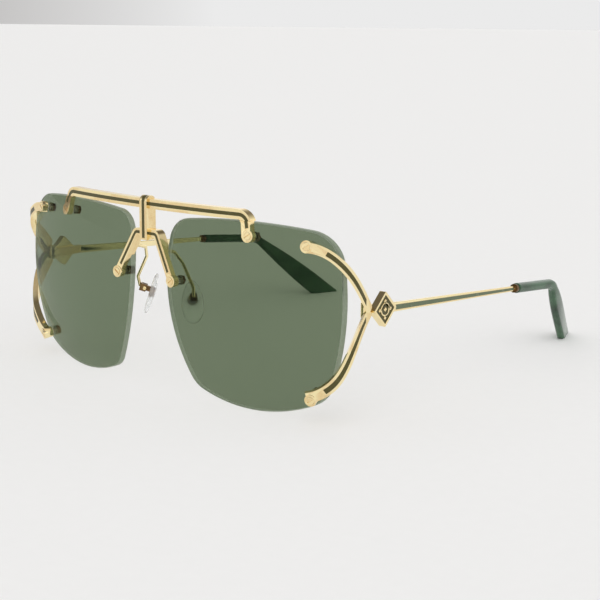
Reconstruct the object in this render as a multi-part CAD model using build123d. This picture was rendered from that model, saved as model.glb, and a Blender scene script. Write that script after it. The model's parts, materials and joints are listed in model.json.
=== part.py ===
from build123d import *
import math
import os

# Rimless squared aviator sunglasses. The front faces -Y, the temples run back along +Y,
# +X is the wearer's left, and the lens bottoms and temple tips stand on z = 0.
# All sizes are millimetres. y = 0 lies near the lens fronts until the end, where the
# whole pair is moved so that y = 0 is the middle of its length.

# ---- lenses: a shell cut from a sphere, outlined by four arcs with rounded corners
lens_radius = 135.0
lens_thickness = 2.0
lens_inner_x = 7.9
lens_outer_x = 69.4
lens_height = 57.4
lens_mid_front_y = -1.2
lens_vertex_z = 33.4
face_form_angle = 9.26
lens_top_radius = 190.0
lens_bottom_radius = 50.0
lens_outer_radius = 67.0
lens_inner_radius = 70.0
lens_corner_radii = {"top_inner": 7.5, "top_outer": 11.5, "bottom_inner": 8.0, "bottom_outer": 12.0}
lens_edge_chamfer = 0.3
lens_top_crown_inset = 1.0
lens_outer_crown_z = 35.0
lens_inner_crown_z = 40.2

# ---- lens fasteners: one stack of screw, washers, bush and nut at each terminal
screw_radius = 0.6
screw_head_radius = 1.15
screw_head_height = 0.7
screw_slot_width = 0.3
screw_slot_depth = 0.3
lens_hole_radius = 1.0
washer_radius = 1.55
washer_thickness = 0.3
nut_across_flats = 2.6
nut_height = 1.1
terminal_radius = 1.85
terminal_thickness = 1.9
terminal_proud = 0.05
screw_tail = 0.3
screw_head_proud = 0.1
screw_slot_turn = 35.0
fastener_clearance = 0.03
seat_gap = 0.02

# ---- where the frame is screwed to each lens, measured in from the lens edges
brow_hole_from_inner = 32.4
brow_hole_below_top = 4.2
bridge_hole_from_inner = 4.2
bridge_hole_below_top = 20.6
end_hole_from_outer = 10.8
end_upper_hole_below_top = 5.6
end_lower_hole_above_bottom = 7.8
end_lower_hole_from_outer = 9.5

# ---- brow bar
brow_height = 3.0
brow_depth = 2.3
brow_above_lens = 2.1
brow_proud_of_drops = 0.056
brow_bow_radius = 248.0
brow_corner_radius = 3.0
brow_corner_inset = 1.1
brow_split_above_lens = 0.35
enamel_depth = 0.4
enamel_cut_proud = 0.3
brow_enamel_width = 1.1
enamel_stop_above_hole = 2.6
drop_set_back = 0.02

# ---- centre post
post_width = 3.2
post_depth = 3.8
post_proud_of_brow = 0.75
post_top_above_lens = 4.5
post_length = 13.7
post_enamel_width = 1.2
post_foot_border = 0.6

# ---- bridge: a short crossbar with two legs
bridge_width = 2.4
bridge_depth = 2.8
bridge_top_below_lens = 7.1
bridge_half_top = 4.5
bridge_proud_of_terminals = 0.1
bridge_lean = 5.0
bridge_corner_radius = 1.4
bridge_enamel_width = 0.9
lens_edge_clearance = 0.35

# ---- endpieces: two tapered ribbons from the outer terminals to the hinge
end_stand_off = 2.28
wrap_slope = 16.7
wrap_radius = 6.0
wrap_past_lens = 3.0
wrap_lead_in = 6.0
ribbon_thickness = 1.8
ribbon_width_at_lens = 3.1
ribbon_width_at_hinge = 2.3
ribbon_enamel_at_lens = 1.6
ribbon_enamel_at_hinge = 0.8
hinge_behind_terminal = 14.12
hinge_z = 33.3
# ribbon bends: share of the way from the terminal to the hinge, across and in height
upper_ribbon_bends = [(0.322, 0.065), (0.608, 0.297), (0.8, 0.578)]
lower_ribbon_bends = [(0.277, 0.102), (0.4875, 0.267), (0.648, 0.486), (0.781, 0.706)]
ribbon_end_before_hinge = 0.7
enamel_stop_before_hinge = 2.5

# ---- hinges
hinge_inside_wrap = 2.4
knuckle_radius = 1.3
knuckle_height = 4.4
middle_knuckle_height = 1.9
knuckle_gap = 0.05
hinge_screw_radius = 0.5
hinge_head_radius = 0.9
hinge_head_height = 0.4

# ---- plaques
plaque_diagonal = 10.8
plaque_behind_hinge = 0.2
plaque_below_hinge = 0.25
plaque_proud_of_wrap = 0.8
plaque_thickness = 2.2
plaque_rim = 0.75
plaque_corner_radius = 0.5
plaque_recess = 0.5
plaque_enamel_depth = 0.25
motif_height = 0.45
motif_line = 0.45
motif_ring_radius = 2.05
motif_petal = 1.3
motif_centre = 1.5

# ---- temples
temple_leaf_thickness = 1.4
temple_front_height = 2.9
temple_front_thickness = 1.6
temple_rear_height = 1.7
temple_rear_thickness = 1.2
temple_edge_share = 0.3
temple_start_in_plaque = 0.3
temple_leaf_overlap = 3.0
temple_web_width = 1.2
temple_web_overlap = 0.5
temple_enamel_gap = 0.6
temple_inside_wrap = 0.8
temple_splay = 1.1
temple_length = 77.7
temple_fall = 4.6
collar_radius = 1.45
collar_length = 1.6
temple_enamel_front = 1.5
temple_enamel_rear = 0.8

# ---- temple tips: an even run and bend, then a twisted paddle cut level with the ground
tip_bend_from_collar = (-2.5, 28.1, -2.8)
tip_drop_direction = (-11.1, 29.4, -24.7)
tip_thickness = 2.9
tip_run_width = 3.1
tip_paddle_width = 8.1
tip_paddle_twist = 30.0
tip_bend_radius = 9.0
tip_edge_radius = 1.1
tip_foot_chamfer = 0.5
# along the drop: share of its length, and share of the growth and twist from run to paddle
drop_stations = [(0.0, 0.0, 0.0), (0.3, 0.55, 0.5), (0.6, 0.9, 0.87), (1.0, 1.0, 1.0)]
tip_past_ground = 8.0
core_radius = 0.5
core_clearance = 0.02
core_end_short = 9.0

# ---- nose pads
pad_arm_radius = 0.5
pad_pivot_inside_bridge_hole = 0.9
pad_pivot_behind_lens = 8.83
pad_pivot_below_bridge_hole = 6.6
# bends of the pad arm from its root on the bridge leg, then from its end on the box
pad_arm_root = (2.0, -0.6, -4.7)
pad_arm_bends = [(0.2, 3.95, -1.2), (1.8, 5.85, -4.6)]
pad_arm_last_bend = (0.35, -0.6, 3.2)
pad_arm_bend_radius = 1.0
pad_normal = (-0.745, 0.596, -0.298)
pad_length = 13.6
pad_width = 7.4
pad_thickness = 2.2
pad_offset = 2.6
pad_drop = 1.2
clevis_gap = 0.9
clevis_cheek = 0.5
clevis_height = 2.4
clevis_depth = 2.1
lug_thickness = 0.8
lug_radius = 0.85
lug_plate_radius = 1.7
lug_plate_thickness = 0.5
pad_edge_share = 0.42
clevis_back_gap = 0.25
pad_screw_radius = 0.3
pad_screw_clearance = 0.04
pad_screw_head_radius = 0.6
pad_screw_head_height = 0.45
pad_screw_tail = 0.3
pad_screw_slot = 0.2

# ---- values that follow from the ones above
lens_mid_x = (lens_inner_x + lens_outer_x) / 2
lens_top_z = lens_height
sphere_x = lens_mid_x - lens_radius * math.sin(math.radians(face_form_angle))
sphere_y = lens_mid_front_y + lens_radius * math.cos(math.radians(face_form_angle))
sphere_centre = Vector(sphere_x, sphere_y, lens_vertex_z)
brow_hole = (lens_inner_x + brow_hole_from_inner, lens_top_z - brow_hole_below_top)
bridge_hole = (lens_inner_x + bridge_hole_from_inner, lens_top_z - bridge_hole_below_top)
end_upper_hole = (lens_outer_x - end_hole_from_outer, lens_top_z - end_upper_hole_below_top)
end_lower_hole = (lens_outer_x - end_lower_hole_from_outer, end_lower_hole_above_bottom)
lens_holes = [brow_hole, bridge_hole, end_upper_hole, end_lower_hole]
brow_z = lens_top_z + brow_above_lens
brow_corner_x = brow_hole[0] - brow_corner_inset
bridge_top_z = lens_top_z - bridge_top_below_lens
post_top_z = lens_top_z + post_top_above_lens
post_foot_z = post_top_z - post_length
brow_split_z = lens_top_z + brow_split_above_lens
far = 400.0
front_half_depth = 60.0
wrap_outer_x = lens_outer_x + wrap_past_lens
hinge_x = wrap_outer_x - hinge_inside_wrap
plaque_outer_x = wrap_outer_x + plaque_proud_of_wrap
temple_front_x = wrap_outer_x - temple_inside_wrap
collar_x = temple_front_x + temple_splay
plaque_z = hinge_z - plaque_below_hinge
collar_z = hinge_z - temple_fall

nodes = {}


def keep(name, *shapes):
    """Stores the solids of one named piece."""
    solids = [solid for shape in shapes for solid in shape.solids()]
    nodes[name] = solids[0] if len(solids) == 1 else Compound(solids)


def keep_pair(name, shape):
    """Stores a left piece and its mirror image on the right."""
    keep(name + "_left", shape)
    keep(name + "_right", mirror(shape, about=Plane.YZ))


def both_sides(shapes):
    """A list of shapes and their mirror images."""
    return list(shapes) + [mirror(shape, about=Plane.YZ) for shape in shapes]


def lens_point(x, z):
    """The point of the lens's front surface in front of (x, z)."""
    reach = lens_radius**2 - (x - sphere_x) ** 2 - (z - lens_vertex_z) ** 2
    return Vector(x, sphere_y - math.sqrt(reach), z)


# ---- places that follow from the front surface of the lens
lens_stand = washer_thickness + terminal_thickness
brow_sagitta = brow_bow_radius - math.sqrt(brow_bow_radius**2 - brow_corner_x**2)
brow_front_y = lens_point(brow_corner_x, brow_z).Y - lens_stand - brow_sagitta - brow_proud_of_drops
post_front_y = brow_front_y - post_proud_of_brow
bridge_run = bridge_top_z - bridge_hole[1]
bridge_fall_back = bridge_run * math.tan(math.radians(bridge_lean))
bridge_front_y = lens_point(*bridge_hole).Y - lens_stand + bridge_fall_back + bridge_proud_of_terminals
wrap_front_y = lens_point(*end_upper_hole).Y - end_stand_off
hinge_y = wrap_front_y + hinge_behind_terminal
plaque_y = hinge_y + plaque_diagonal / 2 + plaque_behind_hinge
collar_y = hinge_y + temple_length
pad_pivot = (
    bridge_hole[0] - pad_pivot_inside_bridge_hole,
    lens_point(*bridge_hole).Y + pad_pivot_behind_lens,
    bridge_hole[1] - pad_pivot_below_bridge_hole,
)


def lens_plane(hole):
    """A plane on the lens front at a hole, with its normal pointing out of the lens."""
    point = lens_point(*hole)
    return Plane(origin=point, x_dir=(1, 0, 0), z_dir=point - sphere_centre)


def pin(plane, radius, low, high):
    """A round bar along a plane's normal, between two heights."""
    return plane * Pos(0, 0, (low + high) / 2) * Cylinder(radius, high - low)


def lens_shell(inner, outer):
    """A spherical shell round the lens's centre of curvature, by distances outside its front."""
    shell = Sphere(lens_radius + outer) - Sphere(lens_radius + inner)
    return Pos(*sphere_centre) * shell


def lens_outline(margin=0.0):
    """The lens seen from the front, as a face in the XZ plane, grown by a margin."""
    disks = [
        (lens_mid_x - lens_top_crown_inset, lens_top_z - lens_top_radius, lens_top_radius),
        (lens_mid_x, lens_bottom_radius, lens_bottom_radius),
        (lens_outer_x - lens_outer_radius, lens_outer_crown_z, lens_outer_radius),
        (lens_inner_x + lens_inner_radius, lens_inner_crown_z, lens_inner_radius),
    ]
    face = None
    for x, z, radius in disks:
        disk = Pos(x, z) * Circle(radius + margin)
        face = disk if face is None else face & disk
    for corner, radius in lens_corner_radii.items():
        level, side = corner.split("_")
        across = 1 if side == "outer" else -1
        upward = 1 if level == "top" else -1
        vertex = max(face.vertices(), key=lambda v: across * v.X + upward * v.Y)
        face = fillet(vertex, radius + margin)
    return Plane.XZ * face


def through(face):
    """A face in the XZ plane carried through the whole depth of the front."""
    return extrude(face, amount=front_half_depth, both=True)


def make_lens():
    blank = through(lens_outline()) & lens_shell(-lens_thickness, 0)
    blank = blank.solids().sort_by(Axis.Y)[0]
    rims = [edge for edge in blank.edges() if edge.length > lens_edge_chamfer * 10]
    blank = chamfer(rims, lens_edge_chamfer)
    for hole in lens_holes:
        blank -= pin(lens_plane(hole), lens_hole_radius, -2 * lens_thickness, lens_thickness)
    return blank


def lens_keep_out():
    """The space of the lens and a clearance round it, open to the back."""
    ball = Pos(*sphere_centre) * Sphere(lens_radius + washer_thickness + seat_gap)
    return through(lens_outline(lens_edge_clearance)) & ball


def boss(hole, height):
    """A round terminal on the lens at a hole."""
    return pin(lens_plane(hole), terminal_radius, washer_thickness, height)


def boss_bore(hole, height):
    """What the screw and its head take out of a terminal."""
    plane = lens_plane(hole)
    shank = pin(plane, screw_radius + fastener_clearance, -lens_thickness, height + 1)
    head = pin(plane, screw_head_radius + fastener_clearance, height - screw_head_height, height + 2)
    return shank + head


def terminal_height(hole):
    """How far a terminal's face stands off the lens."""
    if hole in (brow_hole, bridge_hole):
        return lens_stand
    plane = lens_plane(hole)
    return (plane.origin.Y - wrap_y(hole)) * abs(plane.z_dir.Y) + terminal_proud


def wrap_y(hole):
    """Where the endpiece's sheet lies in front of an outer hole."""
    return wrap_front_y + (hole[0] - end_upper_hole[0]) * math.tan(math.radians(wrap_slope))


def fasteners(hole):
    """Screw, bush, two washers and nut at one lens hole."""
    plane = lens_plane(hole)
    top = terminal_height(hole)
    rear_seat = -lens_thickness - seat_gap
    nut_seat = rear_seat - washer_thickness
    tail = nut_seat - nut_height - screw_tail
    head_top = top + screw_head_proud
    screw = pin(plane, screw_radius, tail, head_top - screw_head_height)
    screw += pin(plane, screw_head_radius, top - screw_head_height, head_top)
    slot = Box(3 * screw_head_radius, screw_slot_width, 2 * screw_slot_depth)
    screw -= plane * Pos(0, 0, head_top) * Rot(0, 0, screw_slot_turn) * slot
    bore = screw_radius + fastener_clearance
    bush = pin(plane, lens_hole_radius - fastener_clearance, -lens_thickness, 0)
    bush -= pin(plane, bore, -2 * lens_thickness, lens_thickness)
    front_washer = pin(plane, washer_radius, seat_gap, washer_thickness)
    front_washer -= pin(plane, bore, -1, 1)
    rear_washer = pin(plane, washer_radius, nut_seat, rear_seat)
    rear_washer -= pin(plane, bore, nut_seat - 1, rear_seat + 1)
    hexagon = RegularPolygon(nut_across_flats / 2, 6, major_radius=False)
    nut = plane * Pos(0, 0, nut_seat - nut_height) * extrude(hexagon, nut_height)
    nut -= pin(plane, bore, tail - 1, rear_seat)
    return screw, bush, front_washer, rear_washer, nut


def stroke(points, radius, width):
    """A path in the XZ plane with rounded corners, drawn with a constant width."""
    path = FilletPolyline(*points, radius=radius)
    return Plane.XZ * trace(path, width)


def bow_layer(depth_from, depth_to):
    """A layer of the brow bar's bowed sheet, between two depths behind its front."""
    ring = Cylinder(brow_bow_radius - depth_from, 30) - Cylinder(brow_bow_radius - depth_to, 60)
    return Pos(0, brow_front_y + brow_bow_radius, brow_z) * ring


def brow_path(end_up):
    """The brow bar's centre line from the front, each end stopping above its terminal."""
    x, z = brow_hole
    return [(-x, z + end_up), (-brow_corner_x, brow_z), (brow_corner_x, brow_z), (x, z + end_up)]


def brow_bar(width, end_up, depth_from, depth_to):
    """The bowed bar itself, or its enamel, above the lenses."""
    outline = stroke(brow_path(end_up), brow_corner_radius, width)
    above = Pos(0, 0, brow_split_z + far / 2) * Box(far, far, far)
    return through(outline) & above & bow_layer(depth_from, depth_to)


def brow_drops(width, end_up, depth_from, depth_to):
    """The two drops, or their enamel, which follow the lenses down to the terminals."""
    outline = stroke(brow_path(end_up), brow_corner_radius, width)
    beside = Pos(brow_hole[0], 0, brow_split_z - far / 2) * Box(brow_hole[0], far, far)
    drop = lens_shell(lens_stand - depth_to, lens_stand - depth_from)
    return both_sides([through(outline) & beside & drop])


def make_brow():
    solid = brow_bar(brow_height, 0, 0, brow_depth)
    for piece in brow_drops(brow_height, 0, 0, terminal_thickness - drop_set_back):
        solid += piece
    for piece in both_sides([boss(brow_hole, lens_stand)]):
        solid += piece
    for bore in both_sides([boss_bore(brow_hole, lens_stand)]):
        solid -= bore
    enamel = brow_bar(brow_enamel_width, enamel_stop_above_hole, -enamel_cut_proud, enamel_depth)
    for piece in brow_drops(brow_enamel_width, enamel_stop_above_hole, -enamel_cut_proud, enamel_depth):
        enamel += piece
    enamel = (enamel & solid) - post_block()
    solid -= enamel
    return solid, enamel


def post_profile(inset):
    """The post from the side, in the YZ plane, drawn in by an inset at the front and top."""
    radius = post_depth / 2 - inset
    centre_y = post_front_y + post_depth / 2
    centre_z = post_top_z - post_depth / 2
    stem = Pos(centre_y, (post_foot_z + centre_z) / 2) * Rectangle(2 * radius, centre_z - post_foot_z)
    return stem + Pos(centre_y, centre_z) * Circle(radius)


def post_block():
    return extrude(Plane.YZ * post_profile(0), amount=post_width / 2, both=True)


def make_post(brow, bridge):
    whole = post_block()
    core = extrude(Plane.YZ * post_profile(enamel_depth), amount=post_width, both=True)
    behind = Pos(0, post_front_y + post_depth * 1.25, post_top_z) * Box(20, post_depth, 4 * post_length)
    strip = Pos(0, 0, (post_foot_z + post_top_z) / 2 + post_foot_border)
    strip = strip * Box(post_enamel_width, front_half_depth, post_length)
    enamel = (whole & strip) - core - behind
    post = whole - enamel
    for crossing in (brow, bridge):
        post -= crossing
    return post, enamel


def bridge_points(end_up):
    x, z = bridge_hole
    run = bridge_top_z - z
    shift = (x - bridge_half_top) * end_up / run
    return [
        (shift - x, z + end_up),
        (-bridge_half_top, bridge_top_z),
        (bridge_half_top, bridge_top_z),
        (x - shift, z + end_up),
    ]


def bridge_layer(depth_from, depth_to):
    """A leaning slab that the bridge is cut from."""
    depth = depth_to - depth_from
    place = Pos(0, bridge_front_y, bridge_top_z) * Rot(-bridge_lean, 0, 0)
    return place * Pos(0, (depth_from + depth_to) / 2, 0) * Box(60, depth, 60)


def make_bridge():
    solid = through(stroke(bridge_points(0), bridge_corner_radius, bridge_width))
    solid = solid & bridge_layer(0, bridge_depth)
    for keep_out in both_sides([lens_keep_out()]):
        solid -= keep_out
    height = terminal_height(bridge_hole)
    for piece in both_sides([boss(bridge_hole, height)]):
        solid += piece
    for bore in both_sides([boss_bore(bridge_hole, height)]):
        solid -= bore
    enamel_path = bridge_points(enamel_stop_above_hole)
    enamel = through(stroke(enamel_path, bridge_corner_radius, bridge_enamel_width))
    enamel = enamel & bridge_layer(0, enamel_depth)
    enamel -= post_block()
    solid -= enamel
    return solid, enamel


def wrap_layer(depth_from, depth_to):
    """A layer of the sheet that the endpiece follows round the lens's outer edge."""
    slope = math.radians(wrap_slope)
    middle = (depth_from + depth_to) / 2
    start = (
        end_upper_hole[0] - wrap_lead_in - middle * math.sin(slope),
        wrap_front_y - wrap_lead_in * math.tan(slope) + middle * math.cos(slope),
    )
    corner_x = wrap_outer_x - middle
    corner = (corner_x, start[1] + (corner_x - start[0]) * math.tan(slope))
    end = (corner_x, hinge_y + 0.1)
    path = FilletPolyline(start, corner, end, radius=wrap_radius - middle)
    return extrude(trace(path, depth_to - depth_from), amount=far / 4, both=True)


wrap_plane = Plane(origin=(0, 0, 0), x_dir=(1, 1, 0), z_dir=(1, -1, 0))


def wrap_place(x, y, z):
    """Where a point of the wrapped sheet shows, seen square to the pair's front corner."""
    return ((x + y) / math.sqrt(2), z)


def band(points, widths, ends=(True, True)):
    """A flat ribbon whose centre passes through points, with a width at each point."""
    centre = Spline(*points)
    sides = ([], [])
    for point, width in zip(points, widths):
        spot = centre.param_at_point(Vector(*point))
        along = centre % spot
        across = Vector(-along.Y, along.X) * (width / 2)
        sides[0].append(Vector(*point) + across)
        sides[1].append(Vector(*point) - across)
    edges = [Spline(*sides[0]), Spline(*sides[1])]
    edges.append(Line(sides[0][0], sides[1][0]))
    edges.append(Line(sides[0][-1], sides[1][-1]))
    return make_face(edges)


def ribbon_points(upper):
    """The centre line of one ribbon, seen square to the front corner."""
    hole = end_upper_hole if upper else end_lower_hole
    bends = upper_ribbon_bends if upper else lower_ribbon_bends
    start = wrap_place(hole[0], wrap_y(hole), hole[1])
    end = wrap_place(wrap_outer_x, hinge_y - ribbon_end_before_hinge, hinge_z)
    across, rise = end[0] - start[0], end[1] - start[1]
    middle = [(start[0] + across * share, start[1] + rise * fall) for share, fall in bends]
    return [start] + middle + [end]


def ribbon(upper, wide, narrow, from_lens=0):
    points = ribbon_points(upper)
    count = len(points) - 1
    widths = [wide + (narrow - wide) * index / count for index in range(count + 1)]
    return band(points[from_lens:], widths[from_lens:])


def make_endpiece():
    outline = ribbon(True, ribbon_width_at_lens, ribbon_width_at_hinge)
    outline += ribbon(False, ribbon_width_at_lens, ribbon_width_at_hinge)
    solid = extrude(wrap_plane * outline, amount=far / 4, both=True) & wrap_layer(0, ribbon_thickness)
    solid -= lens_keep_out()
    for hole in (end_upper_hole, end_lower_hole):
        height = terminal_height(hole)
        solid += boss(hole, height)
        solid -= boss_bore(hole, height)
    solid += knuckle(-knuckle_height / 2, knuckle_height / 2)
    solid -= knuckle_clear(middle_knuckle_height / 2 + knuckle_gap)
    solid -= hinge_pin(hinge_screw_radius + fastener_clearance, -knuckle_height, knuckle_height)
    top = knuckle_height / 2
    solid -= hinge_pin(hinge_head_radius + fastener_clearance, top - hinge_head_height, top + 1)
    enamel = []
    for upper in (True, False):
        inlay = extrude(
            wrap_plane * ribbon(upper, ribbon_enamel_at_lens, ribbon_enamel_at_hinge, 1),
            amount=far / 4,
            both=True,
        )
        inlay = inlay & wrap_layer(-enamel_cut_proud, enamel_depth) & solid
        inlay -= Pos(hinge_x, hinge_y, hinge_z) * Box(far, 2 * enamel_stop_before_hinge, far)
        enamel.append(inlay)
        solid -= inlay
    return solid, enamel


def hinge_pin(radius, low, high):
    return Pos(hinge_x, hinge_y, hinge_z + (low + high) / 2) * Cylinder(radius, high - low)


def knuckle(low, high):
    return hinge_pin(knuckle_radius, low, high)


def knuckle_clear(half_height):
    """The slot in which the temple's knuckle turns."""
    return hinge_pin(knuckle_radius + 2 * knuckle_gap, -half_height, half_height)


def make_hinge_screw():
    top = knuckle_height / 2
    screw = hinge_pin(hinge_screw_radius, -top, top - hinge_head_height)
    screw += hinge_pin(hinge_head_radius, top - hinge_head_height, top)
    slot = Box(4 * hinge_head_radius, screw_slot_width, hinge_head_height)
    return screw - Pos(hinge_x, hinge_y, hinge_z + top) * slot


def diamond(diagonal, corner):
    """A square turned on its corner, in the plane of a plaque."""
    square = Rot(0, 0, 45) * Rectangle(diagonal / math.sqrt(2), diagonal / math.sqrt(2))
    return fillet(square.vertices(), corner) if corner else square


def plaque_plane(depth):
    """The plaque's face, with its normal pointing outwards, at a depth below the face."""
    return Plane(
        origin=(plaque_outer_x - depth, plaque_y, plaque_z), x_dir=(0, 1, 0), z_dir=(1, 0, 0)
    )


def make_plaque():
    body = extrude(plaque_plane(0) * diamond(plaque_diagonal, plaque_corner_radius), -plaque_thickness)
    inner = diamond(plaque_diagonal - 2 * math.sqrt(2) * plaque_rim, 0)
    pocket = extrude(plaque_plane(0) * inner, -plaque_recess)
    body -= pocket
    floor = plaque_plane(plaque_recess)
    enamel = extrude(floor * inner, plaque_enamel_depth)
    pattern = Circle(motif_ring_radius) - Circle(motif_ring_radius - motif_line)
    for angle in range(0, 360, 90):
        pattern += Rot(0, 0, angle) * Pos(motif_ring_radius + motif_line, 0) * diamond(motif_petal, 0)
    pattern += diamond(motif_centre, 0)
    motif = extrude(floor * pattern, motif_height)
    enamel -= motif
    return body, enamel, motif


def temple_section(x, y, z, thickness, height):
    plane = Plane(origin=(x, y, z), x_dir=(1, 0, 0), z_dir=(0, 1, 0))
    return plane * RectangleRounded(thickness, height, min(thickness, height) * temple_edge_share)


def temple_z(y):
    """Height of the temple's centre line, which slopes down to the collar."""
    share = (y - plaque_y) / (collar_y - plaque_y)
    return plaque_z + (collar_z - plaque_z) * share


def make_arm(plaque):
    start = plaque_y + plaque_diagonal * temple_start_in_plaque
    front = temple_section(temple_front_x, start, temple_z(start), temple_front_thickness, temple_front_height)
    rear_y = collar_y - collar_length / 2
    rear = temple_section(collar_x, rear_y, temple_z(rear_y), temple_rear_thickness, temple_rear_height)
    arm = loft([front, rear])
    leaf_x = plaque_outer_x - plaque_thickness - temple_leaf_thickness / 2
    leaf_front = hinge_y + knuckle_radius + 4 * knuckle_gap
    leaf_rear = start + temple_leaf_overlap
    leaf_length = leaf_rear - leaf_front
    leaf = Pos(leaf_x, (leaf_front + leaf_rear) / 2, temple_z(plaque_y))
    leaf = leaf * Box(temple_leaf_thickness, leaf_length, temple_front_height)
    arm += leaf
    half = middle_knuckle_height / 2
    arm += knuckle(-half, half)
    web_length = leaf_front + temple_web_overlap - hinge_y
    web = Pos(hinge_x, hinge_y + web_length / 2, hinge_z)
    arm += web * Box(temple_web_width, web_length, middle_knuckle_height)
    arm -= hinge_pin(hinge_screw_radius + 2 * fastener_clearance, -knuckle_height, knuckle_height)
    arm -= plaque
    inlay_start = plaque_y + plaque_diagonal / 2 + temple_enamel_gap
    inlay_end = collar_y - collar_length - temple_enamel_gap
    faces = []
    for y, height in ((inlay_start, temple_enamel_front), (inlay_end, temple_enamel_rear)):
        share = (y - start) / (collar_y - start)
        x = temple_front_x + (collar_x - temple_front_x) * share
        thickness = temple_front_thickness + (temple_rear_thickness - temple_front_thickness) * share
        skin = x + thickness / 2
        centre_x = skin + (enamel_cut_proud - enamel_depth) / 2
        plane = Plane(origin=(centre_x, y, temple_z(y)), x_dir=(1, 0, 0), z_dir=(0, 1, 0))
        faces.append(plane * Rectangle(enamel_depth + enamel_cut_proud, height))
    enamel = loft(faces) & arm
    arm -= enamel
    return arm, enamel


collar_point = Vector(collar_x, collar_y, collar_z)
bend_point = collar_point + Vector(*tip_bend_from_collar)
ground_share = -bend_point.Z / tip_drop_direction[2]
tip_foot = bend_point + Vector(*tip_drop_direction) * ground_share
run_direction = (bend_point - collar_point).normalized()
drop_direction = (tip_foot - bend_point).normalized()
tip_normal = run_direction.cross(drop_direction).normalized()


def tip_path(last, start_back=0.0):
    """The tip's centre line from the collar, round the bend and on to a last point."""
    start = collar_point - run_direction * start_back
    return FilletPolyline(start, bend_point, last, radius=tip_bend_radius)


def make_core(radius):
    """The wire inside the tip, from the collar round the bend."""
    path = tip_path(tip_foot - drop_direction * core_end_short, collar_length)
    section = Plane(origin=path @ 0, z_dir=path % 0) * Circle(radius)
    return sweep(section, path=path)


def tip_section(point, direction, width, twist):
    plane = Plane(origin=point, x_dir=tip_normal, z_dir=direction) * Rot(0, 0, -twist)
    return plane * RectangleRounded(tip_thickness, width, tip_edge_radius)


def make_tip():
    """Acetate tip: an even run and bend, then a twisted paddle that is cut level with the ground."""
    path = tip_path(tip_foot)
    turn = math.radians(run_direction.get_angle(drop_direction))
    drop = (tip_foot - bend_point).length - tip_bend_radius * math.tan(turn / 2)
    start = 1 - drop / path.length
    bore = core_radius + core_clearance
    opening = Plane(origin=path @ 0, z_dir=path % 0) * Circle(bore)
    run = sweep(tip_section(path @ 0, path % 0, tip_run_width, 0) - opening, path=path.trim(0, start))
    growth = tip_paddle_width - tip_run_width
    sections = []
    for share, grown, turned in drop_stations:
        point = path @ (start + (1 - start) * share)
        sections.append(tip_section(point, path % 1, tip_run_width + growth * grown, tip_paddle_twist * turned))
    paddle = loft(sections)
    paddle += extrude(sections[-1], amount=tip_past_ground, dir=path % 1)
    paddle -= Pos(0, 0, -far / 2) * Box(far, far, far)
    foot = paddle.faces().sort_by(Axis.Z)[0]
    paddle = chamfer(foot.edges(), tip_foot_chamfer)
    paddle -= pin(Plane(origin=path @ start, z_dir=path % 1), bore, -1, drop - core_end_short + core_clearance)
    return run + paddle


def make_collar():
    plane = Plane(origin=collar_point, z_dir=run_direction)
    return pin(plane, collar_radius, -collar_length, 0)


def pad_frame():
    normal = Vector(*pad_normal).normalized()
    across = Vector(0, 0, 1).cross(normal).normalized()
    return Plane(origin=pad_pivot, x_dir=across, z_dir=normal)


def make_pad():
    frame = pad_frame()
    centre = frame * Pos(0, -pad_drop, pad_offset)
    blank = extrude(Ellipse(pad_width / 2, pad_length / 2), pad_thickness / 2, both=True)
    blank = fillet(blank.edges(), pad_thickness * pad_edge_share)
    body = centre * blank
    plate = frame * Pos(0, -pad_drop / 2, pad_offset) * Cylinder(lug_plate_radius, lug_plate_thickness)
    stem = frame * Pos(0, 0, pad_offset / 2) * Box(lug_thickness, 2 * lug_radius, pad_offset)
    eye_plane = Plane(origin=pad_pivot, x_dir=frame.z_dir, z_dir=frame.x_dir)
    eye = pin(eye_plane, lug_radius, -lug_thickness / 2, lug_thickness / 2)
    lug = plate + stem + eye
    lug -= pin(eye_plane, pad_screw_radius + pad_screw_clearance, -2, 2)
    body -= lug
    return body, lug


def make_clevis():
    """The little box at the end of a pad arm: two cheeks and a back, open above and below."""
    frame = pad_frame()
    width = clevis_gap + 2 * clevis_cheek
    back_z = -lug_radius - clevis_back_gap
    box = frame * Pos(0, 0, back_z + clevis_depth / 2 - clevis_cheek) * Box(width, clevis_height, clevis_depth)
    slot = frame * Pos(0, 0, back_z + clevis_depth) * Box(clevis_gap, 2 * clevis_height, 2 * clevis_depth)
    eye_plane = Plane(origin=pad_pivot, x_dir=frame.z_dir, z_dir=frame.x_dir)
    return box - slot - pin(eye_plane, pad_screw_radius + fastener_clearance, -2, 2)


def make_pad_screw():
    frame = pad_frame()
    half = clevis_gap / 2 + clevis_cheek
    eye_plane = Plane(origin=pad_pivot, x_dir=frame.z_dir, z_dir=frame.x_dir)
    head_top = half + pad_screw_head_height
    screw = pin(eye_plane, pad_screw_radius, -half - pad_screw_tail, half)
    screw += pin(eye_plane, pad_screw_head_radius, half, head_top)
    slot = Box(3 * pad_screw_head_radius, pad_screw_slot, 2 * pad_screw_slot)
    return screw - eye_plane * Pos(0, 0, head_top) * slot


def make_pad_arm(bridge, clevis):
    """A round wire from the back of the bridge leg to the back of the clevis."""
    frame = pad_frame()
    end = (frame * Pos(0, 0, -lug_radius - clevis_back_gap - clevis_cheek)).position
    root = Vector(bridge_half_top, bridge_front_y + bridge_depth, bridge_top_z) + Vector(*pad_arm_root)
    bends = [root + Vector(*bend) for bend in pad_arm_bends]
    points = [root] + bends + [end + Vector(*pad_arm_last_bend), end]
    path = FilletPolyline(*points, radius=pad_arm_bend_radius)
    section = Plane(origin=path @ 0, z_dir=path % 0) * Circle(pad_arm_radius)
    arm = sweep(section, path=path)
    return arm - bridge - clevis


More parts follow.
